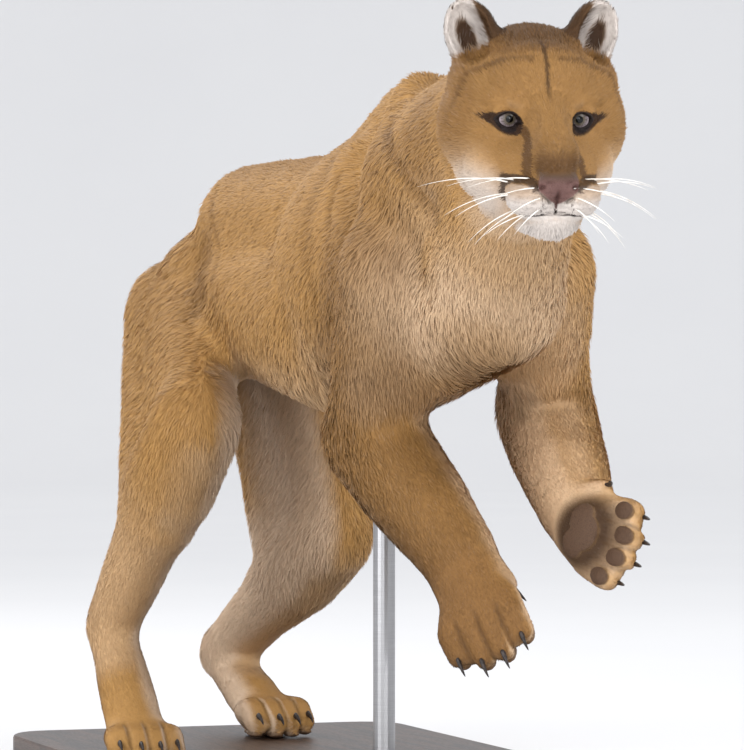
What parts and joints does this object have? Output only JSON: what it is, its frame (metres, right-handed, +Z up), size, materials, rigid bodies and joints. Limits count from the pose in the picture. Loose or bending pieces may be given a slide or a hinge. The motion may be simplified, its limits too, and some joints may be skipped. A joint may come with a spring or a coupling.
{
  "type": "cougar",
  "caption": "Life-size cougar bounding with both forelegs off the ground, its long tail streaming behind, held by a rod on a flat display base.",
  "frame": {"origin": "centre of the underside of the stand's base", "axes": "+Z up, the animal heads along -Y, its left side is +X"},
  "size_m": [0.5256, 1.9133, 0.7583],
  "materials": {
    "coat": "short dense fur, tawny above and pale below",
    "ears": "short fur, dark behind and pale within",
    "tail_tip": "short dark fur",
    "claws": "smooth horn",
    "eyes": "wet and clear",
    "stand_base": "satin black",
    "stand_rod": "brushed"
  },
  "bodies": {
    "root": {"ear_left": "ears", "ear_right": "ears", "eye_left": "eyes", "eye_right": "eyes", "foreleg_left_claw_1": "claws", "foreleg_left_claw_2": "claws", "foreleg_left_claw_3": "claws", "foreleg_left_claw_4": "claws", "foreleg_left_claw_5": "claws", "foreleg_left_lower": "coat", "foreleg_left_paw": "coat", "foreleg_left_upper": "coat", "foreleg_right_claw_1": "claws", "foreleg_right_claw_2": "claws", "foreleg_right_claw_3": "claws", "foreleg_right_claw_4": "claws", "foreleg_right_claw_5": "claws", "foreleg_right_lower": "coat", "foreleg_right_paw": "coat", "foreleg_right_upper": "coat", "head": "coat", "hindleg_left_claw_2": "claws", "hindleg_left_claw_3": "claws", "hindleg_left_claw_4": "claws", "hindleg_left_claw_5": "claws", "hindleg_left_paw": "coat", "hindleg_left_shin": "coat", "hindleg_left_thigh": "coat", "hindleg_right_claw_2": "claws", "hindleg_right_claw_3": "claws", "hindleg_right_claw_4": "claws", "hindleg_right_claw_5": "claws", "hindleg_right_paw": "coat", "hindleg_right_shin": "coat", "hindleg_right_thigh": "coat", "neck": "coat", "stand_base": "stand_base", "stand_rod": "stand_rod", "tail_base": "coat", "tail_middle": "coat", "tail_tip": "tail_tip", "torso": "coat"}
  },
  "joints": []
}
